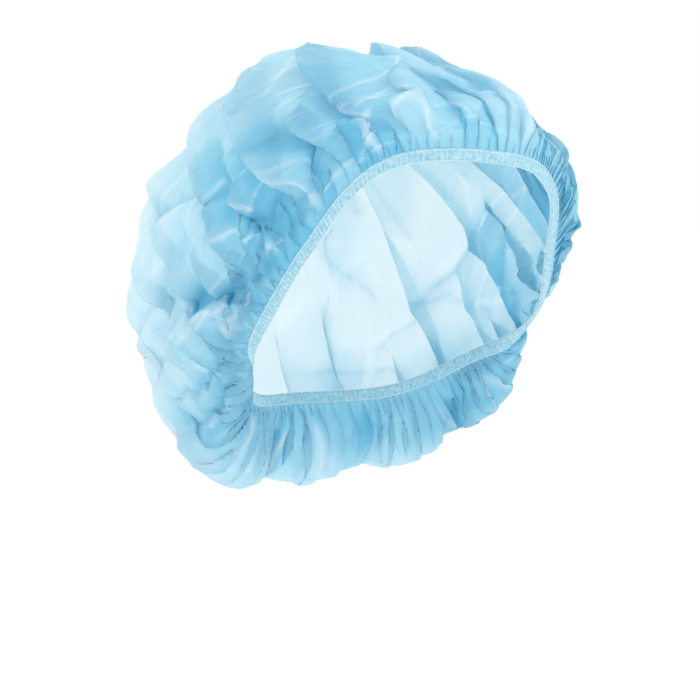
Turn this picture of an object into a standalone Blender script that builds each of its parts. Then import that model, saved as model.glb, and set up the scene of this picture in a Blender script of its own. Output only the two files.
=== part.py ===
"""Disposable bouffant hair cap in light blue spunbond polypropylene, in metres, +Z up.

The cap keeps the form it has when worn. The wearer faces -Y, and the origin lies on the axis of the
wearer's head, level with the cap's edge at the forehead. The opening is tilted: it runs from the
forehead down past the temples and ears to the nape, and the bag hangs behind and below it.

A place on the cloth is an angle round the opening's own axis (0 at the forehead, 90 on the wearer's
right, 180 at the nape) and a share of the way from the elastic edge (0) up to the crown's middle (1).
"""

import math

import bmesh
import bpy
import numpy as np

MM = 0.001

# The opening: a tilted frame that the sections are drawn in
OPENING_TILT = math.radians(34.0)
OPENING_CENTRE = np.array((0.0, -12.0, -58.0)) * MM
SIDEWAYS = np.array((1.0, 0.0, 0.0))
FORWARD = np.array((0.0, -math.cos(OPENING_TILT), math.sin(OPENING_TILT)))
OUTWARD = np.array((0.0, math.sin(OPENING_TILT), math.cos(OPENING_TILT)))

# The elastic edge and the cloth
BAND_WIDTH = 5.8 * MM
BAND_THICKNESS = 1.5 * MM
SEAM_GAP = 0.5 * MM
CLOTH_WALL = 1.2 * MM
BAND_STATIONS = 96
# The band's flat oval section: share of its width, share of half its thickness
BAND_SECTION = (
    (0.0, 0.45), (0.2, 1.0), (0.75, 1.0), (1.0, 0.4),
    (1.0, -0.4), (0.75, -1.0), (0.2, -1.0), (0.0, -0.45),
)

# Finish of the two materials
CLOTH_BLUE = (0.40, 0.76, 0.90)
CLOTH_ROUGHNESS = 0.75
EDGE_BLUE = (0.56, 0.82, 0.90)
EDGE_ROUGHNESS = 0.85

# Steps over which the normals are measured, in degrees and in share, and the last share they are at
NORMAL_STEP_ROUND = 0.4
NORMAL_STEP_UP = 0.004
NORMAL_LAST_SHARE = 0.975

# Radial sections of the bag, one row for each angle round the opening. Each pair is a radius from the
# opening's axis and a height above the opening's plane, in mm.
# angle, edge, droop, low, belly, back, shoulder, upper, top
SECTIONS = (
    (0, (103.5, -4), (113, 6), (117, 24), (110, 47), (89, 75), (64, 99), (36, 119), (14, 130)),
    (30, (96, 6), (103, 14), (105, 32), (98, 53), (85, 76), (66, 98), (42, 118), (20, 129)),
    (60, (81.5, -10), (88, 0), (95, 22), (97, 46), (90, 70), (75, 91), (52, 111), (26, 126)),
    (90, (78, -25.5), (85, -20), (93, 4), (96, 36), (90, 66), (76, 90), (53, 110), (28, 125)),
    (120, (74.5, -22), (80, -36), (98, -38), (107, -10), (107, 36), (96, 73), (74, 100), (45, 119)),
    (150, (83, -19), (94, -38), (116, -44), (127, -26), (122, 10), (119, 48), (106, 86), (66, 118)),
    (180, (95, -8), (102, -27), (122, -36), (140, -15), (137, 30), (121, 74), (88, 111), (46, 131)),
    (210, (83, -19), (94, -38), (116, -44), (127, -26), (122, 10), (119, 48), (106, 86), (66, 118)),
    (240, (74.5, -22), (80, -36), (98, -38), (107, -10), (107, 36), (96, 73), (74, 100), (45, 119)),
    (270, (78, -25.5), (85, -20), (93, 4), (96, 36), (90, 66), (76, 90), (53, 110), (28, 125)),
    (300, (78, -10), (89, -4), (97, 17), (95, 43), (88, 67), (74, 90), (52, 110), (26, 125)),
    (330, (90, -3), (99, 6), (102, 26), (95, 49), (80, 74), (62, 96), (41, 116), (20, 128)),
)
CROWN_MIDDLE = (0.0, 0.0, 133.0)

# Broad bulges and hollows between the folds: where, how far they reach round and up the bag, and how
# high they stand, in mm.
# angle, share, reach round, reach up, height
LOBES = (
    (15, 0.50, 24, 22, 2.5),
    (33, 0.57, 14, 20, 3.5),
    (46, 0.66, 16, 22, 3.0),
    (61, 0.54, 13, 26, -9.0),
    (80, 0.56, 18, 22, 3.5),
    (108, 0.54, 20, 14, 5.0),
    (104, 0.49, 26, 7, -4.0),
    (120, 0.44, 22, 16, 6.0),
    (117, 0.33, 24, 10, -10.0),
    (131, 0.36, 18, 16, 6.5),
    (140, 0.24, 20, 12, -3.5),
    (168, 0.14, 26, 16, 3.0),
    (185, 0.55, 30, 26, 5.0),
    (205, 0.36, 24, 16, -6.5),
    (222, 0.46, 20, 24, 4.5),
    (238, 0.30, 24, 14, -6.0),
    (250, 0.52, 20, 26, 4.0),
    (280, 0.50, 14, 30, -6.0),
    (303, 0.05, 7, 12, -3.5),
    (292, 0.12, 12, 16, 3.5),
    (318, 0.50, 18, 24, 3.5),
    (344, 0.16, 10, 14, -3.0),
)

# Main folds. A fold that runs up the bag is followed by its angle at a few shares, and a crease that
# runs round it by its share at a few angles. Height is that of the ridge, negative for a valley.
# runs, width, height, path of (angle, share)
FOLDS = (
    ("up", 5.5, -6.0, ((37, 0.04), (37, 0.12), (37, 0.36), (35, 0.60))),
    ("up", 6.5, 4.5, ((30.5, 0.05), (33, 0.21), (35, 0.44))),
    ("up", 5.0, -5.5, ((24, 0.05), (28, 0.15), (31, 0.25), (32, 0.42))),
    ("up", 7.0, -5.0, ((9, 0.06), (11, 0.14), (10, 0.24), (3, 0.48))),
    ("up", 6.0, 4.0, ((17, 0.05), (18, 0.18), (16, 0.42))),
    ("up", 4.5, -3.5, ((1, 0.04), (2, 0.14), (1, 0.26))),
    ("up", 5.0, 3.5, ((354, 0.05), (352, 0.18), (350, 0.34))),
    ("up", 5.0, -4.5, ((45, 0.02), (45, 0.08), (47, 0.18), (50, 0.32))),
    ("up", 8.0, -6.0, ((55, 0.03), (57, 0.14), (60, 0.25), (61, 0.36))),
    ("up", 6.0, 4.5, ((50, 0.04), (53, 0.15), (56, 0.28))),
    ("up", 6.5, -5.0, ((61, 0.03), (66, 0.17), (73, 0.26), (71, 0.42))),
    ("up", 6.0, 4.0, ((67, 0.05), (71, 0.14), (79, 0.24))),
    ("up", 6.5, -4.5, ((86, 0.03), (90, 0.12), (104, 0.24))),
    ("up", 6.5, 4.0, ((95, 0.03), (98, 0.14), (112, 0.24))),
    ("up", 7.0, -5.0, ((106, 0.03), (118, 0.13), (128, 0.20))),
    ("up", 8.0, -5.0, ((146, 0.04), (150, 0.14), (147, 0.26))),
    ("up", 8.0, 4.0, ((134, 0.05), (138, 0.16), (136, 0.28))),
    ("up", 9.0, -6.0, ((170, 0.04), (172, 0.18), (166, 0.40))),
    ("up", 8.0, 4.5, ((184, 0.05), (186, 0.20), (184, 0.42))),
    ("up", 9.0, -5.5, ((201, 0.05), (198, 0.22), (204, 0.48))),
    ("up", 8.0, -5.0, ((228, 0.05), (222, 0.16), (226, 0.34))),
    ("up", 7.0, 4.0, ((240, 0.05), (238, 0.14), (244, 0.30))),
    ("up", 7.0, -5.0, ((257, 0.04), (260, 0.16), (264, 0.40))),
    ("up", 6.0, 4.0, ((272, 0.04), (276, 0.20), (272, 0.44))),
    ("up", 6.5, -5.0, ((289, 0.04), (292, 0.18), (290, 0.36))),
    ("up", 6.0, -5.0, ((318, 0.04), (316, 0.16), (322, 0.38))),
    ("up", 6.0, 4.0, ((329, 0.04), (328, 0.16), (332, 0.36))),
    ("up", 6.0, -4.5, ((341, 0.04), (339, 0.14), (342, 0.34))),
    ("up", 8.0, -4.5, ((132, 0.48), (140, 0.62), (152, 0.78))),
    ("up", 9.0, 4.5, ((152, 0.40), (158, 0.56), (164, 0.74))),
    ("up", 8.0, -5.0, ((176, 0.46), (172, 0.60), (176, 0.80))),
    ("up", 9.0, 4.0, ((196, 0.52), (190, 0.66), (196, 0.80))),
    ("up", 8.0, -5.0, ((218, 0.50), (210, 0.64), (206, 0.80))),
    ("up", 8.0, 4.0, ((236, 0.54), (226, 0.66), (224, 0.78))),
    ("up", 8.0, -4.5, ((98, 0.60), (104, 0.72), (118, 0.84))),
    ("up", 8.0, -4.5, ((268, 0.54), (262, 0.66), (256, 0.80))),
    ("up", 8.0, -4.0, ((14, 0.56), (356, 0.70), (330, 0.84))),
    ("round", 4.5, -4.0, ((72, 0.31), (88, 0.40), (107, 0.50))),
    ("round", 5.0, -5.0, ((90, 0.14), (103, 0.24), (108, 0.34), (123, 0.40))),
    ("round", 4.5, -3.5, ((104, 0.06), (112, 0.14), (128, 0.27))),
    ("round", 6.0, 3.5, ((48, 0.66), (62, 0.52), (64, 0.40), (58, 0.33))),
    ("round", 5.0, -4.0, ((150, 0.30), (172, 0.34), (196, 0.31))),
    ("round", 5.0, -4.0, ((215, 0.40), (236, 0.44), (258, 0.38))),
    ("round", 5.0, -3.5, ((20, 0.70), (350, 0.66), (325, 0.60))),
)
# How a fold ends: over a share of the way up, over degrees round the bag, and above the band
FOLD_FADE_UP = 0.06
FOLD_FADE_ROUND = 10.3
FOLD_RISE = 20.0 * MM
# The share around the crown's middle over which all relief dies out
CALM_MIDDLE = 0.12

# Gathers: the cloth's edge is much longer than the band, so it stands in pleats all round
GATHERS = 48
GATHER_DEPTH = 1.9 * MM
GATHER_AT_SEAM = 0.12
GATHER_START = 0.021
GATHER_FULL = 0.056
GATHER_REACH = 0.13
# How unevenly they stand: waves round the edge, strength, phase in radians
UNEVEN_GATHERS = ((7, 0.30, 0.6), (11, 0.22, 2.1))

# Rings of the mesh, one row for each run of rings with the same number of columns
# columns, shares of the way from the seam to the crown's middle
RINGS = (
    (192, (0.0, 0.018, 0.038, 0.062, 0.09, 0.12, 0.155)),
    (96, (0.20, 0.25, 0.30, 0.35, 0.40, 0.45, 0.50, 0.55, 0.60, 0.65)),
    (48, (0.70, 0.75, 0.80, 0.845)),
    (24, (0.88, 0.92, 0.96)),
)


def smooth_step(x):
    x = np.clip(x, 0.0, 1.0)
    return x * x * (3.0 - 2.0 * x)


def hermite(before, start, end, after, span, s):
    """A cubic from start to end over span, with the slopes before and after, at the share s."""
    return (
        (2 * s**3 - 3 * s**2 + 1) * start
        + (s**3 - 2 * s**2 + s) * span * before
        + (3 * s**2 - 2 * s**3) * end
        + (s**3 - s**2) * span * after
    )


def sections_at(angles):
    """The section's (radius, height) pairs at each angle, on smooth curves round the opening."""
    marks = np.array([row[0] for row in SECTIONS], float)
    pairs = np.array([row[1:] for row in SECTIONS], float)
    marks = np.concatenate((marks - 360.0, marks, marks + 360.0))
    pairs = np.concatenate((pairs, pairs, pairs))
    slopes = (pairs[2:] - pairs[:-2]) / (marks[2:] - marks[:-2])[:, None, None]
    turned = np.mod(angles, 360.0)
    row = np.searchsorted(marks, turned, side="right") - 1
    span = marks[row + 1] - marks[row]
    share = (turned - marks[row]) / span
    span = span[:, None, None]
    share = share[:, None, None]
    return hermite(slopes[row - 1], pairs[row], pairs[row + 1], slopes[row], span, share)


def section_curves(angles):
    """For each angle, the section's points in the opening's frame, mm, and the length up to each."""
    pairs = sections_at(angles)
    turn = np.radians(angles)[:, None]
    points = np.stack((-pairs[..., 0] * np.sin(turn), pairs[..., 0] * np.cos(turn), pairs[..., 1]), -1)
    middle = np.broadcast_to(np.array(CROWN_MIDDLE), (len(angles), 1, 3))
    before = 2 * points[:, :1] - points[:, 1:2]
    beyond = 2 * middle - points[:, -1:]
    beyond[..., 2] = points[:, -1:, 2]
    points = np.concatenate((before, points, middle, beyond), 1)
    steps = np.linalg.norm(np.diff(points, axis=1), axis=2)
    lengths = np.concatenate((np.zeros((len(angles), 1)), np.cumsum(steps, 1)), 1)
    return points, lengths


def section_length(angles):
    """The length of each section from the edge to the crown's middle, in metres."""
    lengths = section_curves(angles)[1]
    return (lengths[:, -2] - lengths[:, 1]) * MM


def smooth_bag(angles, shares):
    """Points of the bag without folds, and the radius there from the opening's axis, in metres."""
    points, lengths = section_curves(angles)
    reached = lengths[:, 1] + shares * (lengths[:, -2] - lengths[:, 1])
    last = points.shape[1] - 3
    at = np.clip((lengths <= reached[:, None]).sum(1) - 1, 1, last)
    row = np.arange(len(angles))

    def slope(i):
        step = lengths[row, i + 1] - lengths[row, i - 1]
        return (points[row, i + 1] - points[row, i - 1]) / step[:, None]

    span = lengths[row, at + 1] - lengths[row, at]
    share = ((reached - lengths[row, at]) / span)[:, None]
    local = hermite(slope(at), points[row, at], points[row, at + 1], slope(at + 1), span[:, None], share)
    radius = np.hypot(local[:, 0], local[:, 1]) * MM
    place = local[:, :1] * SIDEWAYS + local[:, 1:2] * FORWARD + local[:, 2:] * OUTWARD
    return OPENING_CENTRE + place * MM, radius


def outward_normals(angles, shares):
    """Unit normals of the smooth bag, pointing away from the wearer."""
    shares = np.clip(shares, NORMAL_STEP_UP, NORMAL_LAST_SHARE)
    ahead = smooth_bag(angles + NORMAL_STEP_ROUND, shares)[0]
    behind = smooth_bag(angles - NORMAL_STEP_ROUND, shares)[0]
    above = smooth_bag(angles, shares + NORMAL_STEP_UP)[0]
    below = smooth_bag(angles, shares - NORMAL_STEP_UP)[0]
    normals = np.cross(above - below, ahead - behind)
    return normals / np.linalg.norm(normals, axis=1)[:, None]


def angle_between(angles, centre):
    """Signed angle from centre, in radians, the short way round."""
    return np.radians(np.mod(angles - centre + 180.0, 360.0) - 180.0)


def lobe_relief(angles, shares, radius, length):
    relief = np.zeros_like(shares)
    for angle, share, reach_round, reach_up, height in LOBES:
        across = angle_between(angles, angle) * radius / (reach_round * MM)
        along = (shares - share) * length / (reach_up * MM)
        relief += height * MM * np.exp(-(across**2 + along**2))
    return relief


def fold_relief(angles, shares, radius, length):
    relief = np.zeros_like(shares)
    for runs, width, height, path in FOLDS:
        first = path[0][0]
        turned = np.array([first + math.degrees(angle_between(a, first)) for a, _ in path])
        path_shares = np.array([share for _, share in path])
        here = first + np.degrees(angle_between(angles, first))
        if runs == "up":
            ends = path_shares[0], path_shares[-1]
            across = np.radians(here - np.interp(shares, path_shares, turned)) * radius
            along, scale = shares, FOLD_FADE_UP
        else:
            order = np.argsort(turned)
            ends = turned[order[0]], turned[order[-1]]
            across = (shares - np.interp(here, turned[order], path_shares[order])) * length
            along, scale = here, FOLD_FADE_ROUND
        fade = smooth_step((along - ends[0]) / scale + 1) * smooth_step((ends[1] - along) / scale + 1)
        relief += height * MM * fade * np.exp(-((across / (width * MM)) ** 2))
    return relief


def gather_relief(angles, shares):
    turn = np.radians(angles)
    uneven = 1.0 + sum(strength * np.sin(waves * turn + phase) for waves, strength, phase in UNEVEN_GATHERS)
    risen = smooth_step((shares - GATHER_START) / (GATHER_FULL - GATHER_START))
    swell = GATHER_AT_SEAM + (1.0 - GATHER_AT_SEAM) * risen
    fade = np.exp(-((shares / GATHER_REACH) ** 2))
    return GATHER_DEPTH * uneven * swell * fade * np.sin(GATHERS * turn)


def folded_bag(angles, shares):
    """Points of the cloth with its lobes, folds and gathers, in metres."""
    points, radius = smooth_bag(angles, shares)
    length = section_length(angles)
    calm_edge = smooth_step((shares * length - BAND_WIDTH) / FOLD_RISE)
    calm_middle = smooth_step((1.0 - shares) / CALM_MIDDLE)
    relief = lobe_relief(angles, shares, radius, length) + fold_relief(angles, shares, radius, length)
    relief = relief * calm_edge * calm_middle + gather_relief(angles, shares)
    return points + outward_normals(angles, shares) * relief[:, None]


def crown_ring(columns, share):
    """One ring of the crown's cloth. Its share counts from the seam with the band."""
    angles = np.arange(columns) * 360.0 / columns
    seam = (BAND_WIDTH + SEAM_GAP) / section_length(angles)
    return folded_bag(angles, seam + (1.0 - seam) * share)


def bridge_rings(mesh, lower, upper):
    """Faces between two rings, the upper of which has as many points as the lower, or half."""
    count = len(upper)
    if len(lower) == count:
        for i in range(count):
            j = (i + 1) % count
            mesh.faces.new((lower[i], upper[i], upper[j], lower[j]))
        return
    for i in range(count):
        j = (i + 1) % count
        start, middle, end = lower[2 * i], lower[2 * i + 1], lower[(2 * i + 2) % len(lower)]
        mesh.faces.new((start, upper[i], middle))
        mesh.faces.new((middle, upper[i], upper[j]))
        mesh.faces.new((middle, upper[j], end))


def new_object(name, mesh, material):
    data = bpy.data.meshes.new(name)
    bmesh.ops.recalc_face_normals(mesh, faces=mesh.faces)
    mesh.to_mesh(data)
    mesh.free()
    data.materials.append(material)
    piece = bpy.data.objects.new(name, data)
    bpy.context.scene.collection.objects.link(piece)
    data.shade_smooth()
    return piece


def make_crown(material):
    mesh = bmesh.new()
    below = None
    for columns, shares in RINGS:
        for share in shares:
            ring = [mesh.verts.new(point) for point in crown_ring(columns, share)]
            if below:
                bridge_rings(mesh, below, ring)
            below = ring
    middle = mesh.verts.new(smooth_bag(np.zeros(1), np.ones(1))[0][0])
    for i in range(len(below)):
        mesh.faces.new((below[i], middle, below[(i + 1) % len(below)]))
    crown = new_object("crown", mesh, material)
    wall = crown.modifiers.new("cloth wall", "SOLIDIFY")
    wall.thickness = CLOTH_WALL
    wall.offset = 0.0
    return crown


def make_elastic_band(material):
    """The narrow edge: a flat oval section carried round the opening, in the plane of the cloth."""
    angles = np.arange(BAND_STATIONS) * 360.0 / BAND_STATIONS
    length = section_length(angles)
    edge = smooth_bag(angles, np.zeros(BAND_STATIONS))[0]
    top = smooth_bag(angles, BAND_WIDTH / length)[0]
    across = outward_normals(angles, 0.5 * BAND_WIDTH / length)
    half = BAND_THICKNESS / 2
    mesh = bmesh.new()
    strands = []
    for width_share, thickness_share in BAND_SECTION:
        points = edge + (top - edge) * width_share + across * half * thickness_share
        strands.append([mesh.verts.new(point) for point in points])
    for i, strand in enumerate(strands):
        bridge_rings(mesh, strand, strands[(i + 1) % len(strands)])
    return new_object("elastic_band", mesh, material)


def cloth_material(name, colour, roughness):
    material = bpy.data.materials.new(name)
    material.use_nodes = True
    shader = material.node_tree.nodes["Principled BSDF"]
    shader.inputs["Base Color"].default_value = (*colour, 1.0)
    shader.inputs["Roughness"].default_value = roughness
    shader.inputs["Metallic"].default_value = 0.0
    material.diffuse_color = (*colour, 1.0)
    return material


def clear_scene():
    for obj in list(bpy.data.objects):
        bpy.data.objects.remove(obj, do_unlink=True)


clear_scene()
make_crown(cloth_material("non-woven polypropylene", CLOTH_BLUE, CLOTH_ROUGHNESS))
make_elastic_band(cloth_material("overlocked elastic edge", EDGE_BLUE, EDGE_ROUGHNESS))
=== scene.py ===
"""Looks of the disposable bouffant cap: light blue spunbond polypropylene gathered onto an elastic edge.

Everything is in metres, +Z up. The wearer faces -Y, and the origin lies on the axis of the wearer's head,
level with the cap's edge at the forehead. A place on the cloth is an angle round the opening's own axis
(0 at the forehead, 90 on the wearer's right, 180 at the nape) and a share of the way from the elastic edge
(0) up to the crown's middle (1).
"""

import math

import bmesh
import bpy
import numpy as np
from mathutils import Matrix, Vector


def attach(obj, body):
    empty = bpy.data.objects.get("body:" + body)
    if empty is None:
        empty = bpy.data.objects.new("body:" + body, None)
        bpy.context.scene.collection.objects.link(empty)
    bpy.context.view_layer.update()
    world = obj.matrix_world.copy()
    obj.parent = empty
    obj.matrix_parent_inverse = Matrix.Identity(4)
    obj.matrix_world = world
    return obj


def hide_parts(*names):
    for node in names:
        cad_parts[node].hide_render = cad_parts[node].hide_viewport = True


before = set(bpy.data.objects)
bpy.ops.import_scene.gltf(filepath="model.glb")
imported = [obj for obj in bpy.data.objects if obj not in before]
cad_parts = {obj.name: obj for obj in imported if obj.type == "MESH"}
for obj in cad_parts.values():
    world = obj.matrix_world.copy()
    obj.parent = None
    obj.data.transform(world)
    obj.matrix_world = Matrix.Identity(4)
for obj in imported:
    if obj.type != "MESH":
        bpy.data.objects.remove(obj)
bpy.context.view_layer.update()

MM = 0.001

# The round cut of cloth before it is gathered: a 53 cm cut, as such caps are sold
CUT_RADIUS = 265.0 * MM

# The opening: a tilted frame that the sections are drawn in
OPENING_TILT = math.radians(34.0)
OPENING_CENTRE = np.array((0.0, -12.0, -58.0)) * MM
SIDEWAYS = np.array((1.0, 0.0, 0.0))
FORWARD = np.array((0.0, -math.cos(OPENING_TILT), math.sin(OPENING_TILT)))
OUTWARD = np.array((0.0, math.sin(OPENING_TILT), math.cos(OPENING_TILT)))
BAND_WIDTH = 5.8 * MM

# Radial sections of the bag, one row for each angle round the opening. Each pair is a radius from the
# opening's axis and a height above the opening's plane, in mm.
# angle, edge, droop, low, belly, back, shoulder, upper, top
SECTIONS = (
    (0, (103.5, -4), (113, 6), (117, 24), (110, 47), (89, 75), (64, 99), (36, 119), (14, 130)),
    (30, (96, 6), (103, 14), (105, 32), (98, 53), (85, 76), (66, 98), (42, 118), (20, 129)),
    (60, (81.5, -10), (88, 0), (95, 22), (97, 46), (90, 70), (75, 91), (52, 111), (26, 126)),
    (90, (78, -25.5), (85, -20), (93, 4), (96, 36), (90, 66), (76, 90), (53, 110), (28, 125)),
    (120, (74.5, -22), (80, -36), (98, -38), (107, -10), (107, 36), (96, 73), (74, 100), (45, 119)),
    (150, (83, -19), (94, -38), (116, -44), (127, -26), (122, 10), (119, 48), (106, 86), (66, 118)),
    (180, (95, -8), (102, -27), (122, -36), (140, -15), (137, 30), (121, 74), (88, 111), (46, 131)),
    (210, (83, -19), (94, -38), (116, -44), (127, -26), (122, 10), (119, 48), (106, 86), (66, 118)),
    (240, (74.5, -22), (80, -36), (98, -38), (107, -10), (107, 36), (96, 73), (74, 100), (45, 119)),
    (270, (78, -25.5), (85, -20), (93, 4), (96, 36), (90, 66), (76, 90), (53, 110), (28, 125)),
    (300, (78, -10), (89, -4), (97, 17), (95, 43), (88, 67), (74, 90), (52, 110), (26, 125)),
    (330, (90, -3), (99, 6), (102, 26), (95, 49), (80, 74), (62, 96), (41, 116), (20, 128)),
)
CROWN_MIDDLE = (0.0, 0.0, 133.0)

# Broad bulges and hollows between the folds: where, how far they reach round and up the bag, and how
# high they stand, in mm.
# angle, share, reach round, reach up, height
LOBES = (
    (15, 0.50, 24, 22, 2.5),
    (33, 0.57, 14, 20, 3.5),
    (46, 0.66, 16, 22, 3.0),
    (61, 0.54, 13, 26, -9.0),
    (80, 0.56, 18, 22, 3.5),
    (108, 0.54, 20, 14, 5.0),
    (104, 0.49, 26, 7, -4.0),
    (120, 0.44, 22, 16, 6.0),
    (117, 0.33, 24, 10, -10.0),
    (131, 0.36, 18, 16, 6.5),
    (140, 0.24, 20, 12, -3.5),
    (168, 0.14, 26, 16, 3.0),
    (185, 0.55, 30, 26, 5.0),
    (205, 0.36, 24, 16, -6.5),
    (222, 0.46, 20, 24, 4.5),
    (238, 0.30, 24, 14, -6.0),
    (250, 0.52, 20, 26, 4.0),
    (280, 0.50, 14, 30, -6.0),
    (303, 0.05, 7, 12, -3.5),
    (292, 0.12, 12, 16, 3.5),
    (318, 0.50, 18, 24, 3.5),
    (344, 0.16, 10, 14, -3.0),
)

# Main folds. A fold that runs up the bag is followed by its angle at a few shares, and a crease that
# runs round it by its share at a few angles. Height is that of the ridge, negative for a valley.
# runs, width, height, path of (angle, share)
FOLDS = (
    ("up", 5.5, -6.0, ((37, 0.04), (37, 0.12), (37, 0.36), (35, 0.60))),
    ("up", 6.5, 4.5, ((30.5, 0.05), (33, 0.21), (35, 0.44))),
    ("up", 5.0, -5.5, ((24, 0.05), (28, 0.15), (31, 0.25), (32, 0.42))),
    ("up", 7.0, -5.0, ((9, 0.06), (11, 0.14), (10, 0.24), (3, 0.48))),
    ("up", 6.0, 4.0, ((17, 0.05), (18, 0.18), (16, 0.42))),
    ("up", 4.5, -3.5, ((1, 0.04), (2, 0.14), (1, 0.26))),
    ("up", 5.0, 3.5, ((354, 0.05), (352, 0.18), (350, 0.34))),
    ("up", 5.0, -4.5, ((45, 0.02), (45, 0.08), (47, 0.18), (50, 0.32))),
    ("up", 8.0, -6.0, ((55, 0.03), (57, 0.14), (60, 0.25), (61, 0.36))),
    ("up", 6.0, 4.5, ((50, 0.04), (53, 0.15), (56, 0.28))),
    ("up", 6.5, -5.0, ((61, 0.03), (66, 0.17), (73, 0.26), (71, 0.42))),
    ("up", 6.0, 4.0, ((67, 0.05), (71, 0.14), (79, 0.24))),
    ("up", 6.5, -4.5, ((86, 0.03), (90, 0.12), (104, 0.24))),
    ("up", 6.5, 4.0, ((95, 0.03), (98, 0.14), (112, 0.24))),
    ("up", 7.0, -5.0, ((106, 0.03), (118, 0.13), (128, 0.20))),
    ("up", 8.0, -5.0, ((146, 0.04), (150, 0.14), (147, 0.26))),
    ("up", 8.0, 4.0, ((134, 0.05), (138, 0.16), (136, 0.28))),
    ("up", 9.0, -6.0, ((170, 0.04), (172, 0.18), (166, 0.40))),
    ("up", 8.0, 4.5, ((184, 0.05), (186, 0.20), (184, 0.42))),
    ("up", 9.0, -5.5, ((201, 0.05), (198, 0.22), (204, 0.48))),
    ("up", 8.0, -5.0, ((228, 0.05), (222, 0.16), (226, 0.34))),
    ("up", 7.0, 4.0, ((240, 0.05), (238, 0.14), (244, 0.30))),
    ("up", 7.0, -5.0, ((257, 0.04), (260, 0.16), (264, 0.40))),
    ("up", 6.0, 4.0, ((272, 0.04), (276, 0.20), (272, 0.44))),
    ("up", 6.5, -5.0, ((289, 0.04), (292, 0.18), (290, 0.36))),
    ("up", 6.0, -5.0, ((318, 0.04), (316, 0.16), (322, 0.38))),
    ("up", 6.0, 4.0, ((329, 0.04), (328, 0.16), (332, 0.36))),
    ("up", 6.0, -4.5, ((341, 0.04), (339, 0.14), (342, 0.34))),
    ("up", 8.0, -4.5, ((132, 0.48), (140, 0.62), (152, 0.78))),
    ("up", 9.0, 4.5, ((152, 0.40), (158, 0.56), (164, 0.74))),
    ("up", 8.0, -5.0, ((176, 0.46), (172, 0.60), (176, 0.80))),
    ("up", 9.0, 4.0, ((196, 0.52), (190, 0.66), (196, 0.80))),
    ("up", 8.0, -5.0, ((218, 0.50), (210, 0.64), (206, 0.80))),
    ("up", 8.0, 4.0, ((236, 0.54), (226, 0.66), (224, 0.78))),
    ("up", 8.0, -4.5, ((98, 0.60), (104, 0.72), (118, 0.84))),
    ("up", 8.0, -4.5, ((268, 0.54), (262, 0.66), (256, 0.80))),
    ("up", 8.0, -4.0, ((14, 0.56), (356, 0.70), (330, 0.84))),
    ("round", 4.5, -4.0, ((72, 0.31), (88, 0.40), (107, 0.50))),
    ("round", 5.0, -5.0, ((90, 0.14), (103, 0.24), (108, 0.34), (123, 0.40))),
    ("round", 4.5, -3.5, ((104, 0.06), (112, 0.14), (128, 0.27))),
    ("round", 6.0, 3.5, ((48, 0.66), (62, 0.52), (64, 0.40), (58, 0.33))),
    ("round", 5.0, -4.0, ((150, 0.30), (172, 0.34), (196, 0.31))),
    ("round", 5.0, -4.0, ((215, 0.40), (236, 0.44), (258, 0.38))),
    ("round", 5.0, -3.5, ((20, 0.70), (350, 0.66), (325, 0.60))),
)
# How a fold ends: over a share of the way up, over degrees round the bag, and above the band
FOLD_FADE_UP = 0.06
FOLD_FADE_ROUND = 10.3
FOLD_RISE = 20.0 * MM
# The cloth folds more sharply than a round groove, whose value would be 2
FOLD_SHARPNESS = 1.4
# The share around the crown's middle over which all relief dies out
CALM_MIDDLE = 0.12
# Steps over which the normals are measured, in degrees and in share, and the last share they are at
NORMAL_STEP_ROUND = 0.4
NORMAL_STEP_UP = 0.004
NORMAL_LAST_SHARE = 0.975


def smooth_step(x):
    x = np.clip(x, 0.0, 1.0)
    return x * x * (3.0 - 2.0 * x)


def hermite(before, start, end, after, span, s):
    """A cubic from start to end over span, with the slopes before and after, at the share s."""
    return (
        (2 * s**3 - 3 * s**2 + 1) * start
        + (s**3 - 2 * s**2 + s) * span * before
        + (3 * s**2 - 2 * s**3) * end
        + (s**3 - s**2) * span * after
    )


def sections_at(angles):
    """The section's (radius, height) pairs at each angle, on smooth curves round the opening."""
    marks = np.array([row[0] for row in SECTIONS], float)
    pairs = np.array([row[1:] for row in SECTIONS], float)
    marks = np.concatenate((marks - 360.0, marks, marks + 360.0))
    pairs = np.concatenate((pairs, pairs, pairs))
    slopes = (pairs[2:] - pairs[:-2]) / (marks[2:] - marks[:-2])[:, None, None]
    turned = np.mod(angles, 360.0)
    row = np.searchsorted(marks, turned, side="right") - 1
    span = marks[row + 1] - marks[row]
    share = (turned - marks[row]) / span
    span = span[:, None, None]
    share = share[:, None, None]
    return hermite(slopes[row - 1], pairs[row], pairs[row + 1], slopes[row], span, share)


def section_curves(angles):
    """For each angle, the section's points in the opening's frame, mm, and the length up to each."""
    pairs = sections_at(angles)
    turn = np.radians(angles)[:, None]
    points = np.stack((-pairs[..., 0] * np.sin(turn), pairs[..., 0] * np.cos(turn), pairs[..., 1]), -1)
    middle = np.broadcast_to(np.array(CROWN_MIDDLE), (len(angles), 1, 3))
    before = 2 * points[:, :1] - points[:, 1:2]
    beyond = 2 * middle - points[:, -1:]
    beyond[..., 2] = points[:, -1:, 2]
    points = np.concatenate((before, points, middle, beyond), 1)
    steps = np.linalg.norm(np.diff(points, axis=1), axis=2)
    lengths = np.concatenate((np.zeros((len(angles), 1)), np.cumsum(steps, 1)), 1)
    return points, lengths


def section_length(angles):
    """The length of each section from the edge to the crown's middle, in metres."""
    lengths = section_curves(angles)[1]
    return (lengths[:, -2] - lengths[:, 1]) * MM


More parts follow.
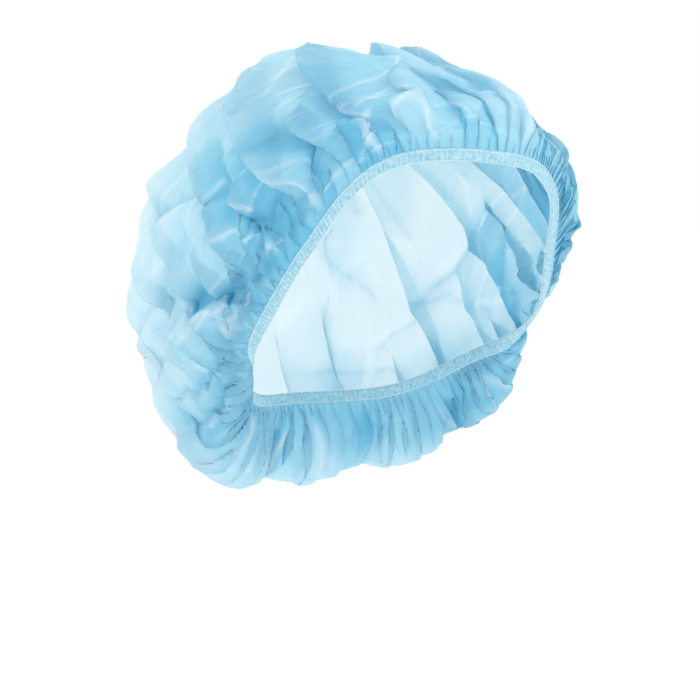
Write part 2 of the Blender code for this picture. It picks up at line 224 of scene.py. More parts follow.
def smooth_bag(angles, shares):
    """Points of the bag without folds, and the radius there from the opening's axis, in metres."""
    points, lengths = section_curves(angles)
    reached = lengths[:, 1] + shares * (lengths[:, -2] - lengths[:, 1])
    last = points.shape[1] - 3
    at = np.clip((lengths <= reached[:, None]).sum(1) - 1, 1, last)
    row = np.arange(len(angles))

    def slope(i):
        step = lengths[row, i + 1] - lengths[row, i - 1]
        return (points[row, i + 1] - points[row, i - 1]) / step[:, None]

    span = lengths[row, at + 1] - lengths[row, at]
    share = ((reached - lengths[row, at]) / span)[:, None]
    local = hermite(slope(at), points[row, at], points[row, at + 1], slope(at + 1), span[:, None], share)
    radius = np.hypot(local[:, 0], local[:, 1]) * MM
    place = local[:, :1] * SIDEWAYS + local[:, 1:2] * FORWARD + local[:, 2:] * OUTWARD
    return OPENING_CENTRE + place * MM, radius


def outward_normals(angles, shares):
    """Unit normals of the smooth bag, pointing away from the wearer."""
    shares = np.clip(shares, NORMAL_STEP_UP, NORMAL_LAST_SHARE)
    ahead = smooth_bag(angles + NORMAL_STEP_ROUND, shares)[0]
    behind = smooth_bag(angles - NORMAL_STEP_ROUND, shares)[0]
    above = smooth_bag(angles, shares + NORMAL_STEP_UP)[0]
    below = smooth_bag(angles, shares - NORMAL_STEP_UP)[0]
    normals = np.cross(above - below, ahead - behind)
    return normals / np.linalg.norm(normals, axis=1)[:, None]


def angle_between(angles, centre):
    """Signed angle from centre, in radians, the short way round."""
    return np.radians(np.mod(angles - centre + 180.0, 360.0) - 180.0)


def lobe_relief(angles, shares, radius, length):
    relief = np.zeros_like(shares)
    for angle, share, reach_round, reach_up, height in LOBES:
        across = angle_between(angles, angle) * radius / (reach_round * MM)
        along = (shares - share) * length / (reach_up * MM)
        relief += height * MM * np.exp(-(across**2 + along**2))
    return relief


def fold_fields(angles, shares, radius, length):
    """For each main fold, its width and height in mm, the distance across it in metres, and its fade."""
    for runs, width, height, path in FOLDS:
        first = path[0][0]
        turned = np.array([first + math.degrees(angle_between(a, first)) for a, _ in path])
        path_shares = np.array([share for _, share in path])
        here = first + np.degrees(angle_between(angles, first))
        if runs == "up":
            ends = path_shares[0], path_shares[-1]
            across = np.radians(here - np.interp(shares, path_shares, turned)) * radius
            along, scale = shares, FOLD_FADE_UP
        else:
            order = np.argsort(turned)
            ends = turned[order[0]], turned[order[-1]]
            across = (shares - np.interp(here, turned[order], path_shares[order])) * length
            along, scale = here, FOLD_FADE_ROUND
        fade = smooth_step((along - ends[0]) / scale + 1) * smooth_step((ends[1] - along) / scale + 1)
        yield width, height, across, fade


def fold_relief(angles, shares, radius, length):
    relief = np.zeros_like(shares)
    for width, height, across, fade in fold_fields(angles, shares, radius, length):
        relief += height * MM * fade * np.exp(-(np.abs(across / (width * MM)) ** FOLD_SHARPNESS))
    return relief


def fold_light_lines(angles, shares, radius, length):
    """A fine line of painted light along each main fold's middle: positive for a painted highlight on a ridge,
    negative for painted shade in a valley.
    """
    painted_light_lines = np.zeros_like(shares)
    for _, height, across, fade in fold_fields(angles, shares, radius, length):
        painted_light_lines += math.copysign(0.8, height) * fade * np.exp(-np.abs(across) / (CREASE_LIGHT_LINE * MM))
    return painted_light_lines

# The cloth's mesh: a square grid bent into the round cut, coarse where it settles and fine where it shows
SETTLE_GRID = 150
SHOWN_GRID = 300
SETTLE_FRAMES = 30
LARGEST_MOVE = 14.0 * MM

# The cap hangs back, so the cut's middle lies behind the crown's middle by this share of its radius
CUT_SHIFT = 0.17
# The cloth starts this far below the band's upper edge, inside the overlocked edge
TUCKED_IN = 1.2 * MM

# Pleats take up the cut's spare length. Rows of fewer, wider pleats follow each other up the cap: how many
# go round, and the shares at which a row starts, is full and is gone.
# count, start, full, gone
PLEATS = (
    (168, -0.01, 0.00, 0.08),
    (92, 0.00, 0.06, 0.20),
    (52, 0.05, 0.15, 0.36),
    (29, 0.15, 0.30, 0.64),
    (15, 0.30, 0.54, 0.96),
)
# The rows wide enough for the coarser mesh that settles
SETTLING_PLEATS = PLEATS[1:]
# Pleats lie over on their neighbours, this far sideways for each unit of height
PLEAT_LEAN = 3.0
# How far they stray from an even spacing, in radians round the opening
PLEAT_STRAY = 0.05
# How round their folded edges are: 1 is a sharp fold, 0 a sine
PLEAT_CRISP = 0.97
# The steepest pleat sides that are worth working out, in height for each unit of width
STEEPEST_PLEAT = 2.0

# Sharp creases left by packing: how many, and their length, reach to each side and height, in mm
CREASE_COUNT = 260
CREASE_LENGTH = (22.0, 90.0)
CREASE_REACH = (2.6, 6.5)
CREASE_HEIGHT = (0.30, 1.05)
# A crease's painted highlight on its ridge or painted shade in its valley is a fine line this wide to each side, in mm
CREASE_LIGHT_LINE = 0.9

# Places where the cloth lies folded on itself and its blue is deeper. A stack is followed by its angle
# at a few shares. It starts with a crisp edge and fades over its width, in mm, toward the angle's sign.
# toward, width, depth of colour, path of (angle, share)
STACKS = (
    (-1, 15.0, 0.95, ((37, 0.03), (37, 0.12), (37, 0.36), (35, 0.58))),
    (1, 12.0, 0.80, ((24, 0.04), (28, 0.15), (31, 0.25), (32, 0.40))),
    (-1, 9.0, 0.65, ((11, 0.05), (11, 0.14), (10, 0.24))),
    (1, 8.0, 0.55, ((1, 0.04), (2, 0.14), (1, 0.24))),
    (1, 10.0, 0.60, ((45, 0.02), (45, 0.08), (47, 0.18), (50, 0.30))),
    (1, 17.0, 0.90, ((55, 0.03), (57, 0.14), (60, 0.25), (61, 0.34))),
    (1, 13.0, 0.80, ((66, 0.05), (69, 0.17), (74, 0.26), (71, 0.40))),
    (-1, 9.0, 0.55, ((86, 0.03), (90, 0.12), (104, 0.22))),
    (1, 10.0, 0.60, ((118, 0.04), (124, 0.13), (130, 0.22))),
    (-1, 12.0, 0.60, ((150, 0.04), (150, 0.16), (148, 0.28))),
    (1, 13.0, 0.60, ((172, 0.04), (172, 0.18), (166, 0.38))),
    (-1, 12.0, 0.60, ((201, 0.05), (198, 0.22), (204, 0.44))),
    (1, 12.0, 0.55, ((228, 0.05), (222, 0.16), (226, 0.32))),
    (-1, 11.0, 0.60, ((257, 0.04), (260, 0.16), (264, 0.38))),
    (1, 11.0, 0.60, ((289, 0.04), (292, 0.18), (290, 0.34))),
    (-1, 10.0, 0.60, ((318, 0.04), (316, 0.16), (322, 0.34))),
    (1, 9.0, 0.55, ((341, 0.04), (339, 0.14), (342, 0.30))),
)

# The overlocked edge, in mm along the cap's edge and across the band
STITCHES = 255
BAND_HALF_THICKNESS = 0.75 * MM
BAND_PUCKER = 0.28 * MM
BAND_SCALLOP = 0.35 * MM
BAND_SIDES = 14
NEEDLE_RADIUS = 0.20 * MM
LOOPER_RADIUS = 0.14 * MM
PURL_RADIUS = 0.20 * MM

# The photograph's frame: the pixel where the origin shows, and the lens, for a view 700 pixels wide
VIEW_PIXELS = 700
ORIGIN_PIXEL = (370, 155)
FOCAL_PIXELS = 3150
SENSOR_WIDTH = 36.0
CAMERA_DISTANCE = 1.5
CAMERA_AZIMUTH = math.radians(-36.0)
CAMERA_ELEVATION = math.radians(4.0)
FLOOR_HEIGHT = -0.30


def grid_mesh(segments):
    """A flat square grid, and the row and column of each of its points."""
    mesh = bmesh.new()
    bmesh.ops.create_grid(mesh, x_segments=segments, y_segments=segments, size=1.0)
    mesh.verts.index_update()
    flat = np.array([vert.co[:2] for vert in mesh.verts])
    return mesh, np.rint((flat + 1.0) / 2.0 * segments).astype(int)


def round_places(cells, segments):
    """Bends the square grid into a circle of radius 1, ring by ring, so its edge is the cut's edge."""
    x, y = (cells / segments * 2.0 - 1.0).T
    reach = np.maximum(np.abs(x), np.abs(y))
    safe = np.maximum(reach, 1e-9)
    upright = np.abs(y) > np.abs(x)
    quarter = math.pi / 4
    turn = np.where(upright, math.pi / 2 - quarter * x / safe * np.sign(y), quarter * y / safe * np.sign(x))
    turn = turn + np.where(np.where(upright, y < 0, x < 0), math.pi, 0.0)
    return np.stack((reach * np.cos(turn), reach * np.sin(turn)), 1)


def angle_and_share(places):
    reach = np.hypot(places[:, 0], places[:, 1])
    return np.degrees(np.arctan2(places[:, 1], places[:, 0])), 1.0 - np.clip(reach, 0.0, 1.0)


def on_flat_cut(places):
    """Where each place lay on the flat round of cloth, in metres."""
    reach = np.hypot(places[:, 0], places[:, 1])
    shifted = places.copy()
    shifted[:, 0] -= CUT_SHIFT * (1.0 - reach**2)
    return shifted * CUT_RADIUS


def wander(angles, shares, rng):
    """A slow random drift between about -1 and 1, which closes round the opening."""
    turn = np.radians(angles)
    drift = np.zeros_like(turn)
    for waves in range(1, 15):
        size, phase, lean = rng.uniform(-1, 1), rng.uniform(0, 2 * math.pi), rng.uniform(-1, 1)
        drift += 0.75 * size / waves**0.5 * np.sin(waves * turn + phase + 6.0 * lean * shares)
    return drift


def row_shares(rows, shares):
    """What share of the spare length each row of pleats takes up."""
    strengths = []
    for _, start, full, gone in rows:
        strengths.append(smooth_step((shares - start) / (full - start)) * smooth_step((gone - shares) / (gone - full)))
    return strengths / np.maximum(sum(strengths), 0.6)


def pleat_steepness(spare, lean):
    """How steep a leaning pleat's sides are where the cloth is this many times longer than its place."""
    slopes = np.linspace(0.0, STEEPEST_PLEAT, 101)
    reached = 0.5 * (np.hypot(1 + lean * slopes, slopes) + np.hypot(1 - lean * slopes, slopes))
    return np.interp(spare, reached, slopes)


def pleat_relief(rows, angles, shares, radius, seed):
    """Height of the pleats, whose sides are as steep as the cut's spare length makes them."""
    rng = np.random.default_rng(seed)
    spare = CUT_RADIUS * (1.0 - shares) / np.maximum(radius, 8.0 * MM)
    steepness = pleat_steepness(np.clip(spare, 1.0, 3.2), PLEAT_LEAN)
    turn = np.radians(angles)
    reached = shares * (1.0 + 0.25 * wander(angles, shares, rng))
    relief = np.zeros_like(shares)
    for (count, *_), strength in zip(rows, row_shares(rows, reached)):
        phase = count * (turn + PLEAT_STRAY * wander(angles, shares, rng))
        uneven = np.clip(1.0 + 0.45 * wander(angles, shares, rng), 0.35, 1.6)
        wave = np.arcsin(PLEAT_CRISP * np.sin(phase)) / math.asin(PLEAT_CRISP)
        quarter = radius * math.pi / 2 / count
        relief += quarter * steepness * strength * uneven * wave
    return relief


def round_tangents(angles, shares):
    """Unit directions round the bag, toward larger angles."""
    shares = np.clip(shares, 0.0, NORMAL_LAST_SHARE)
    ahead = smooth_bag(angles + NORMAL_STEP_ROUND, shares)[0]
    behind = smooth_bag(angles - NORMAL_STEP_ROUND, shares)[0]
    tangents = ahead - behind
    return tangents / np.linalg.norm(tangents, axis=1)[:, None]


def bag_places(angles, shares):
    """The share on the bag of each place on the cut, which starts inside the overlocked edge."""
    seam = (BAND_WIDTH - TUCKED_IN) / section_length(angles)
    return seam + (1.0 - seam) * shares


def folded_cloth(places, rows):
    """Points of the pleated and folded cloth before it settles."""
    angles, cut_shares = angle_and_share(places)
    shares = bag_places(angles, cut_shares)
    points, radius = smooth_bag(angles, shares)
    length = section_length(angles)
    calm_edge = smooth_step((shares * length - BAND_WIDTH) / FOLD_RISE)
    calm_middle = smooth_step((1.0 - shares) / CALM_MIDDLE)
    folds = lobe_relief(angles, shares, radius, length) + fold_relief(angles, shares, radius, length)
    at_seam = 0.5 + 0.5 * smooth_step((shares * length - BAND_WIDTH) / (3.0 * MM))
    pleats = pleat_relief(rows, angles, cut_shares, radius, 11) * calm_middle * at_seam
    relief = folds * calm_edge * calm_middle + pleats
    sideways = round_tangents(angles, shares) * (PLEAT_LEAN * pleats)[:, None]
    return points + outward_normals(angles, shares) * relief[:, None] + sideways


def settle(mesh, places, points):
    """How far each point moves when the cloth, too long for the form, settles under its own stiffness."""
    data = bpy.data.meshes.new("settling")
    mesh.to_mesh(data)
    data.vertices.foreach_set("co", points.ravel())
    piece = bpy.data.objects.new("settling", data)
    bpy.context.scene.collection.objects.link(piece)
    piece.shape_key_add(name="Basis")
    cut = piece.shape_key_add(name="cut")
    flat = on_flat_cut(places)
    cut.data.foreach_set("co", np.column_stack((flat, np.zeros(len(flat)))).ravel())
    cut.value = 0.0
    shares = angle_and_share(places)[1]
    hold = piece.vertex_groups.new(name="hold")
    for i, share in enumerate(shares):
        weight = 1.0 if share < 1e-6 else 0.08 + 0.5 * math.exp(-((share / 0.03) ** 2))
        hold.add([i], min(weight, 1.0), "REPLACE")
    cloth = piece.modifiers.new("cloth", "CLOTH")
    settings = cloth.settings
    settings.rest_shape_key = cut
    settings.vertex_group_mass = "hold"
    settings.pin_stiffness = 0.5
    settings.quality = 4
    settings.mass = 0.15
    settings.tension_stiffness = 12
    settings.compression_stiffness = 12
    settings.shear_stiffness = 4
    settings.bending_stiffness = 0.15
    settings.tension_damping = 6
    settings.compression_damping = 6
    settings.shear_damping = 6
    settings.bending_damping = 0.5
    settings.air_damping = 4
    settings.effector_weights.gravity = 0.05
    settings.use_pressure = True
    settings.uniform_pressure_force = 0.5
    cloth.collision_settings.use_collision = False
    cloth.collision_settings.use_self_collision = False
    cloth.point_cache.frame_start = 1
    cloth.point_cache.frame_end = SETTLE_FRAMES
    for step in range(1, SETTLE_FRAMES + 1):
        bpy.context.scene.frame_set(step)
    settled = piece.evaluated_get(bpy.context.evaluated_depsgraph_get()).to_mesh()
    result = np.empty(len(points) * 3)
    settled.vertices.foreach_get("co", result)
    bpy.data.objects.remove(piece)
    bpy.data.meshes.remove(data)
    bpy.context.scene.frame_set(1)
    moves = result.reshape(-1, 3) - points
    size = np.linalg.norm(moves, axis=1)[:, None]
    return moves * (LARGEST_MOVE * np.tanh(size / LARGEST_MOVE) / np.maximum(size, 1e-9))


def settled_moves(cells):
    """The settling cloth's moves, read at the finer grid's points."""
    coarse, coarse_cells = grid_mesh(SETTLE_GRID)
    places = round_places(coarse_cells, SETTLE_GRID)
    moves = settle(coarse, places, folded_cloth(places, SETTLING_PLEATS))
    moves *= smooth_step(angle_and_share(places)[1] / 0.08)[:, None]
    coarse.free()
    table = np.zeros((SETTLE_GRID + 1, SETTLE_GRID + 1, 3))
    table[coarse_cells[:, 1], coarse_cells[:, 0]] = moves
    at = cells * (SETTLE_GRID / SHOWN_GRID)
    low = np.minimum(at.astype(int), SETTLE_GRID - 1)
    x, y = (at - low).T[:, :, None]
    column, row = low.T
    lower = table[row, column] * (1 - x) + table[row, column + 1] * x
    upper = table[row + 1, column] * (1 - x) + table[row + 1, column + 1] * x
    return lower * (1 - y) + upper * y


def creases_and_painted_light(flat):
    """Sharp creases across the flat cut: their relief, and fine lines of painted highlight on their ridges and painted
    shade in their valleys.
    """
    rng = np.random.default_rng(31)
    relief = np.zeros(len(flat))
    painted_light_lines = np.zeros(len(flat))
    for _ in range(CREASE_COUNT):
        reach = CUT_RADIUS * math.sqrt(rng.uniform(0.0, 0.95))
        bearing, heading = rng.uniform(0, 2 * math.pi, 2)
        length = rng.uniform(*CREASE_LENGTH) * MM
        width = rng.uniform(*CREASE_REACH) * MM
        height = rng.uniform(*CREASE_HEIGHT) * MM * rng.choice((-1.0, 1.0))
        offset = flat - reach * np.array((math.cos(bearing), math.sin(bearing)))
        along = offset @ np.array((math.cos(heading), math.sin(heading)))
        bow = rng.uniform(-2.0, 2.0) * along**2
        across = np.abs(offset @ np.array((-math.sin(heading), math.cos(heading))) - bow)
        fade = smooth_step((1.0 - np.abs(along) / (length / 2)) * 3.0)
        relief += height * fade * np.exp(-across / width)
        painted_light_lines += height / MM * fade * np.exp(-across / (CREASE_LIGHT_LINE * MM))
    return relief, painted_light_lines


def stack_depth(angles, shares, radius):
    """How deep the blue is where the cloth lies folded on itself, 0 to 1, with one crisp edge each."""
    depth = np.zeros_like(shares)
    for toward, width, strength, path in STACKS:
        path_angles = np.array([angle for angle, _ in path], float)
        path_shares = np.array([share for _, share in path])
        middle = np.interp(shares, path_shares, path_angles)
        across = toward * angle_between(angles, middle) * radius / MM
        start = smooth_step((shares - path_shares[0]) / 0.03 + 1)
        end = smooth_step((path_shares[-1] - shares) / 0.10 + 1)
        side = np.where(across > 0, np.exp(-((np.maximum(across, 0) / width) ** 1.5)), 0.0)
        depth = np.maximum(depth, strength * start * end * smooth_step(across / 1.2 + 0.5) * side)
    return depth


def cloth_layers_and_valley_shade(places, plain):
    """How much cloth the eye looks through, from 0, one layer, to 1, packed pleats or a stack, with painted shade
    added where the cloth sinks into a valley.
    """
    angles, cut_shares = angle_and_share(places)
    shares = bag_places(angles, cut_shares)
    radius = smooth_bag(angles, shares)[1]
    spare = CUT_RADIUS * (1.0 - cut_shares) / np.maximum(radius, 8.0 * MM) - 1.0
    gathered = 0.72 * smooth_step(spare / 2.0)
    # Painted shade: the blue deepens where the surface sinks below the smooth bag, as in a shaded valley
    painted_valley_shade = np.clip(-plain / (4.0 * MM), 0.0, 1.0)
    layers_and_valley_shade = gathered + 0.25 * painted_valley_shade + 0.55 * stack_depth(angles, shares, radius)
    return np.clip(layers_and_valley_shade, 0.0, 1.0)


def link_piece(name, data, material):
    data.materials.append(material)
    data.shade_smooth()
    piece = bpy.data.objects.new(name, data)
    bpy.context.scene.collection.objects.link(piece)
    return piece


def make_crown_cloth(material):
    """The gathered round of cloth, one thin sheet from the overlocked edge all over the crown."""
    mesh, cells = grid_mesh(SHOWN_GRID)
    places = round_places(cells, SHOWN_GRID)
    points = folded_cloth(places, PLEATS)
    points = points + settled_moves(cells)
    data = bpy.data.meshes.new("crown_cloth")
    mesh.to_mesh(data)
    mesh.free()
    data.vertices.foreach_set("co", points.ravel())
    data.update()
    normals = np.empty(len(points) * 3)
    data.vertex_normals.foreach_get("vector", normals)
    normals = normals.reshape(-1, 3)
    angles, cut_shares = angle_and_share(places)
    shares = bag_places(angles, cut_shares)
    bag_out = outward_normals(angles, shares)
    if (normals * bag_out).sum(1).mean() < 0:
        data.flip_normals()
        normals = -normals
    flat = on_flat_cut(places)
    calm = smooth_step((cut_shares - 0.01) / 0.05)
    crease_height, crease_light_lines = creases_and_painted_light(flat)
    points = points + normals * (crease_height * calm)[:, None]
    data.vertices.foreach_set("co", points.ravel())
    plain = ((points - smooth_bag(angles, shares)[0]) * bag_out).sum(1)
    layers_and_valley_shade = data.attributes.new("layers_and_valley_shade", "FLOAT", "POINT")
    layers_and_valley_shade.data.foreach_set("value", cloth_layers_and_valley_shade(places, plain))
    radius = smooth_bag(angles, shares)[1]
    # Painted light at the creases and main folds: a painted highlight along ridges and painted shade along valleys
    painted_light_lines = crease_light_lines + fold_light_lines(angles, shares, radius, section_length(angles))
    data.attributes.new("creases_and_painted_light", "FLOAT", "POINT").data.foreach_set("value", np.clip(painted_light_lines, -1.0, 1.0) * calm)
    corners = np.empty(len(data.loops), int)
    data.loops.foreach_get("vertex_index", corners)
    data.uv_layers.new(name="cut").data.foreach_set("uv", flat[corners].ravel())
    data.update()
    return link_piece("crown_cloth", data, material)


def band_points(angles, up, out):
    """Points on the band: up from the cap's edge and out from the middle of its thickness, in metres."""
    length = section_length(angles)
    place = smooth_bag(angles, up / length)[0]
    return place + outward_normals(angles, 0.5 * BAND_WIDTH / length) * out[:, None]


def make_edge_cloth(material):
    """The overlocked edge: a flat oval strip round the opening, puckered between its stitches."""
    stations = STITCHES * 4
    mesh = bmesh.new()
    bmesh.ops.create_grid(mesh, x_segments=BAND_SIDES, y_segments=stations, size=1.0)
    spots = np.array([vert.co[:2] for vert in mesh.verts])
    round_it = (spots[:, 0] + 1.0) * math.pi
    angles = (spots[:, 1] + 1.0) * 180.0
    stitch = np.radians(angles) * STITCHES
    rng = np.random.default_rng(5)
    uneven = wander(angles, np.zeros_like(angles), rng)
    lower = BAND_SCALLOP * (0.5 + 0.5 * np.cos(stitch)) * (1.0 + 0.2 * uneven)
    up = BAND_WIDTH / 2 + (BAND_WIDTH / 2) * np.cos(round_it)
    up = up + np.where(np.cos(round_it) < 0, lower * -np.cos(round_it), 0.0)
    out = BAND_HALF_THICKNESS * np.sign(np.sin(round_it)) * np.abs(np.sin(round_it)) ** 0.6
    pucker = BAND_PUCKER * np.sin(stitch + 0.4 * uneven) * np.sin(round_it) ** 2
    points = band_points(angles, np.clip(up, 0.0, BAND_WIDTH), out + pucker)
    for vert, point in zip(mesh.verts, points):
        vert.co = point
    bmesh.ops.remove_doubles(mesh, verts=mesh.verts, dist=0.00001)
    bmesh.ops.recalc_face_normals(mesh, faces=mesh.faces)
    data = bpy.data.meshes.new("edge_cloth")
    mesh.to_mesh(data)
    mesh.free()
    return link_piece("edge_cloth", data, material)


def make_stitches(name, material, routes, radius, sides=5, steps=6):
    """Short strands, one for each stitch on each route. A route gives angle, up and out along a stitch."""
    strand = bmesh.new()
    bmesh.ops.create_grid(strand, x_segments=sides, y_segments=steps, size=1.0)
    template = bpy.data.meshes.new("strand")
    strand.to_mesh(template)
    spots = np.array([vert.co[:2] for vert in strand.verts])
    strand.free()
    mesh = bmesh.new()
    for _ in range(STITCHES * len(routes)):
        mesh.from_mesh(template)
    bpy.data.meshes.remove(template)
    turn = np.tile((spots[:, 0] + 1.0) * math.pi, STITCHES)
    along = np.tile((spots[:, 1] + 1.0) / 2.0, STITCHES)
    stitch = np.repeat(np.arange(STITCHES), len(spots))
    points = []
    for route in routes:
        middle = band_points(*route(stitch, along))
        ahead = band_points(*route(stitch, along + 0.02)) - band_points(*route(stitch, along - 0.02))
        ahead /= np.linalg.norm(ahead, axis=1)[:, None]
        angles = route(stitch, along)[0]
        length = section_length(angles)
        lift = outward_normals(angles, 0.5 * BAND_WIDTH / length)
        side = np.cross(ahead, lift)
        side /= np.linalg.norm(side, axis=1)[:, None]
        lift = np.cross(side, ahead)
        thin = radius * (1.0 - 0.35 * np.abs(2.0 * along - 1.0) ** 4)
        points.append(middle + (np.cos(turn) * thin)[:, None] * lift + (np.sin(turn) * thin)[:, None] * side)
    for vert, point in zip(mesh.verts, np.concatenate(points)):
        vert.co = point
    bmesh.ops.remove_doubles(mesh, verts=mesh.verts, dist=0.000002)
    bmesh.ops.holes_fill(mesh, edges=[edge for edge in mesh.edges if edge.is_boundary], sides=sides)
    bmesh.ops.recalc_face_normals(mesh, faces=mesh.faces)
    data = bpy.data.meshes.new(name)
    mesh.to_mesh(data)
    mesh.free()
    return link_piece(name, data, material)


def needle_route(stitch, along):
    """A dash of the needle thread along the band's upper edge, dipping into the cloth at both ends."""
    angles = (stitch + 0.06 + 0.88 * along) * 360.0 / STITCHES
    sag = 4.0 * along * (1.0 - along)
    up = BAND_WIDTH - 0.75 * MM + 0.10 * MM * np.sin(stitch * 2.4)
    out = BAND_HALF_THICKNESS - 0.15 * MM + 0.30 * MM * sag
    return angles, up + 0.0 * along, out


def looper_route(side, lean):
    """A stroke across the band, from the needle line down to the free edge, on one face of it."""

    def route(stitch, along):
        wobble = 0.10 * np.sin(stitch * 1.9) + 0.06 * np.sin(stitch * 5.1)
        angles = (stitch + lean * along + wobble) * 360.0 / STITCHES
        up = (BAND_WIDTH - 0.9 * MM) * (1.0 - along) + 0.25 * MM * along
        bulge = np.sin(math.pi * np.clip(along, 0.0, 1.0)) ** 0.5
        out = side * (BAND_HALF_THICKNESS - 0.30 * MM + 0.38 * MM * bulge)
        return angles, up, out

    return route


def purl_route(stitch, along):
    """A loop of looper thread along the free edge, standing a little proud of it."""
    angles = (stitch - 0.10 + 1.20 * along) * 360.0 / STITCHES
    up = 0.22 * MM - 0.35 * MM * np.sin(math.pi * along) + 0.08 * MM * np.sin(stitch * 3.3)
    out = 0.55 * MM * np.cos(math.pi * along + 0.5)
    return angles, up, out


def linear(hex_colour):
    """An sRGB hex colour as the linear colour that the shaders take."""
    channels = [int(hex_colour[i : i + 2], 16) / 255 for i in (1, 3, 5)]
    return (*(c / 12.92 if c <= 0.04045 else ((c + 0.055) / 1.055) ** 2.4 for c in channels), 1.0)


def new_material(name):
    material = bpy.data.materials.new(name)
    material.use_nodes = True
    material.node_tree.nodes.clear()
    return material


def add_node(material, kind, inputs=None, **settings):
    """Adds a node with its settings. Each input is a value for the socket, or a socket that feeds it."""
    tree = material.node_tree
    node = tree.nodes.new(kind)
    for name, value in settings.items():
        setattr(node, name, value)
    for name, value in (inputs or {}).items():
        if isinstance(value, bpy.types.NodeSocket):
            tree.links.new(value, node.inputs[name])
        else:
            node.inputs[name].default_value = value
    return node


def set_ramp(node, stops):
    """Gives a colour ramp its stops, each a place from 0 to 1 and a colour."""
    ramp = node.color_ramp
    while len(ramp.elements) > 1:
        ramp.elements.remove(ramp.elements[-1])
    ramp.elements[0].position, ramp.elements[0].color = stops[0]
    for place, colour in stops[1:]:
        ramp.elements.new(place).color = colour


def non_woven_polypropylene():
    """Spunbond polypropylene, point-bonded and dyed light blue: matt, papery and lightly see-through."""
    material = new_material("spunbond polypropylene non-woven")
    cut = add_node(material, "ShaderNodeUVMap", uv_map="cut").outputs["UV"]
    layers_and_valley_shade = add_node(material, "ShaderNodeAttribute", attribute_name="layers_and_valley_shade").outputs["Fac"]

    # Filaments lie in cloudy clumps some 6 mm wide, which shows as uneven depth of the blue
    clumps = add_node(material, "ShaderNodeTexNoise", {"Vector": cut, "Scale": 1 / (6.0 * MM), "Detail": 4.0})
    clumps_layers_and_shade = add_node(material, "ShaderNodeMath", {0: clumps.outputs["Fac"], 1: 0.5}, operation="SUBTRACT")
    # The blue also deepens with the layers of cloth and with the painted shade in the valleys
    clumps_layers_and_shade = add_node(
        material, "ShaderNodeMath", {0: clumps_layers_and_shade.outputs[0], 1: 0.30, 2: layers_and_valley_shade}, operation="MULTIPLY_ADD"
    )
    blue = add_node(material, "ShaderNodeValToRGB", {"Fac": clumps_layers_and_shade.outputs[0]})
    set_ramp(
        blue,
        (
            (0.00, linear("#E6F4F8")),
            (0.28, linear("#CDE9F2")),
            (0.58, linear("#A3D8E9")),
            (1.00, linear("#76C4E0")),
        ),
    )

    # Painted light along sharp folds: the ridge is whitened, partly the web's own stress whitening and partly a
    # painted highlight, and the valley gets painted shade
    crease_light_attribute = add_node(material, "ShaderNodeAttribute", attribute_name="creases_and_painted_light").outputs["Fac"]
    whitening_and_painted_highlight = add_node(
        material,
        "ShaderNodeMapRange",
        {"Value": crease_light_attribute, "From Min": 0.05, "From Max": 0.8, "To Min": 0.0, "To Max": 0.65},
    )
    painted_crease_shade = add_node(
        material,
        "ShaderNodeMapRange",
        {"Value": crease_light_attribute, "From Min": -0.05, "From Max": -0.8, "To Min": 0.0, "To Max": 0.40},
    )
    with_whitening_and_highlight = add_node(
        material,
        "ShaderNodeMix",
        {"Factor": whitening_and_painted_highlight.outputs[0], 6: blue.outputs["Color"], 7: linear("#F2FAFC")},
        data_type="RGBA",
    )
    # The cloth's blue with the painted highlights and painted shade of its folds and creases
    tint_with_painted_light = add_node(
        material,
        "ShaderNodeMix",
        {"Factor": painted_crease_shade.outputs[0], 6: with_whitening_and_highlight.outputs[2], 7: linear("#6FBFDC")},
        data_type="RGBA",
    ).outputs[2]

    # Bond points: the calender's pins press a diagonal lattice into the web. Real ones are about 0.9 mm
    # apart, drawn 1.7 mm apart here so that they show
    turned = add_node(
        material,
        "ShaderNodeMapping",
        {"Vector": cut, "Rotation": (0.0, 0.0, math.radians(45)), "Scale": (1 / (1.7 * MM),) * 3},
    )
    points = add_node(
        material,
        "ShaderNodeTexVoronoi",
        {"Vector": turned.outputs[0], "Scale": 1.0, "Randomness": 0.12},
        voronoi_dimensions="2D",
    )
    pressed = add_node(
        material,
        "ShaderNodeMapRange",
        {"Value": points.outputs["Distance"], "From Min": 0.12, "From Max": 0.34, "To Min": 0.0, "To Max": 1.0},
    )

    # Single filaments, far finer than this, drawn as streaks 0.5 mm wide
    streaks = add_node(
        material,
        "ShaderNodeTexNoise",
        {"Vector": cut, "Scale": 1 / (0.5 * MM), "Detail": 3.0, "Roughness": 0.6},
    )
    height = add_node(
        material,
        "ShaderNodeMath",
        {0: streaks.outputs["Fac"], 1: 0.35, 2: pressed.outputs[0]},
        operation="MULTIPLY_ADD",
    )
    bump = add_node(
        material,
        "ShaderNodeBump",
        {"Height": height.outputs[0], "Strength": 0.30, "Distance": 0.12 * MM},
    )
    cloth = add_node(
        material,
        "ShaderNodeBsdfPrincipled",
        {
            "Base Color": tint_with_painted_light,
            "Roughness": 0.62,
            "IOR": 1.49,
            "Specular IOR Level": 0.35,
            "Sheen Weight": 0.12,
            "Normal": bump.outputs[0],
        },
    )
    glow = add_node(
        material, "ShaderNodeBsdfTranslucent", {"Color": tint_with_painted_light, "Normal": bump.outputs[0]}
    )
    lit = add_node(material, "ShaderNodeMixShader", {0: 0.42, 1: cloth.outputs[0], 2: glow.outputs[0]})
    clear = add_node(material, "ShaderNodeBsdfTransparent", {"Color": linear("#F0F9FC")})
    open_share = add_node(
        material,
        "ShaderNodeMapRange",
        {"Value": clumps_layers_and_shade.outputs[0], "From Min": 0.0, "From Max": 0.9, "To Min": 0.26, "To Max": 0.02},
    )
    surface = add_node(
        material, "ShaderNodeMixShader", {0: open_share.outputs[0], 1: lit.outputs[0], 2: clear.outputs[0]}
    )
    add_node(material, "ShaderNodeOutputMaterial", {"Surface": surface.outputs[0]})
    return material


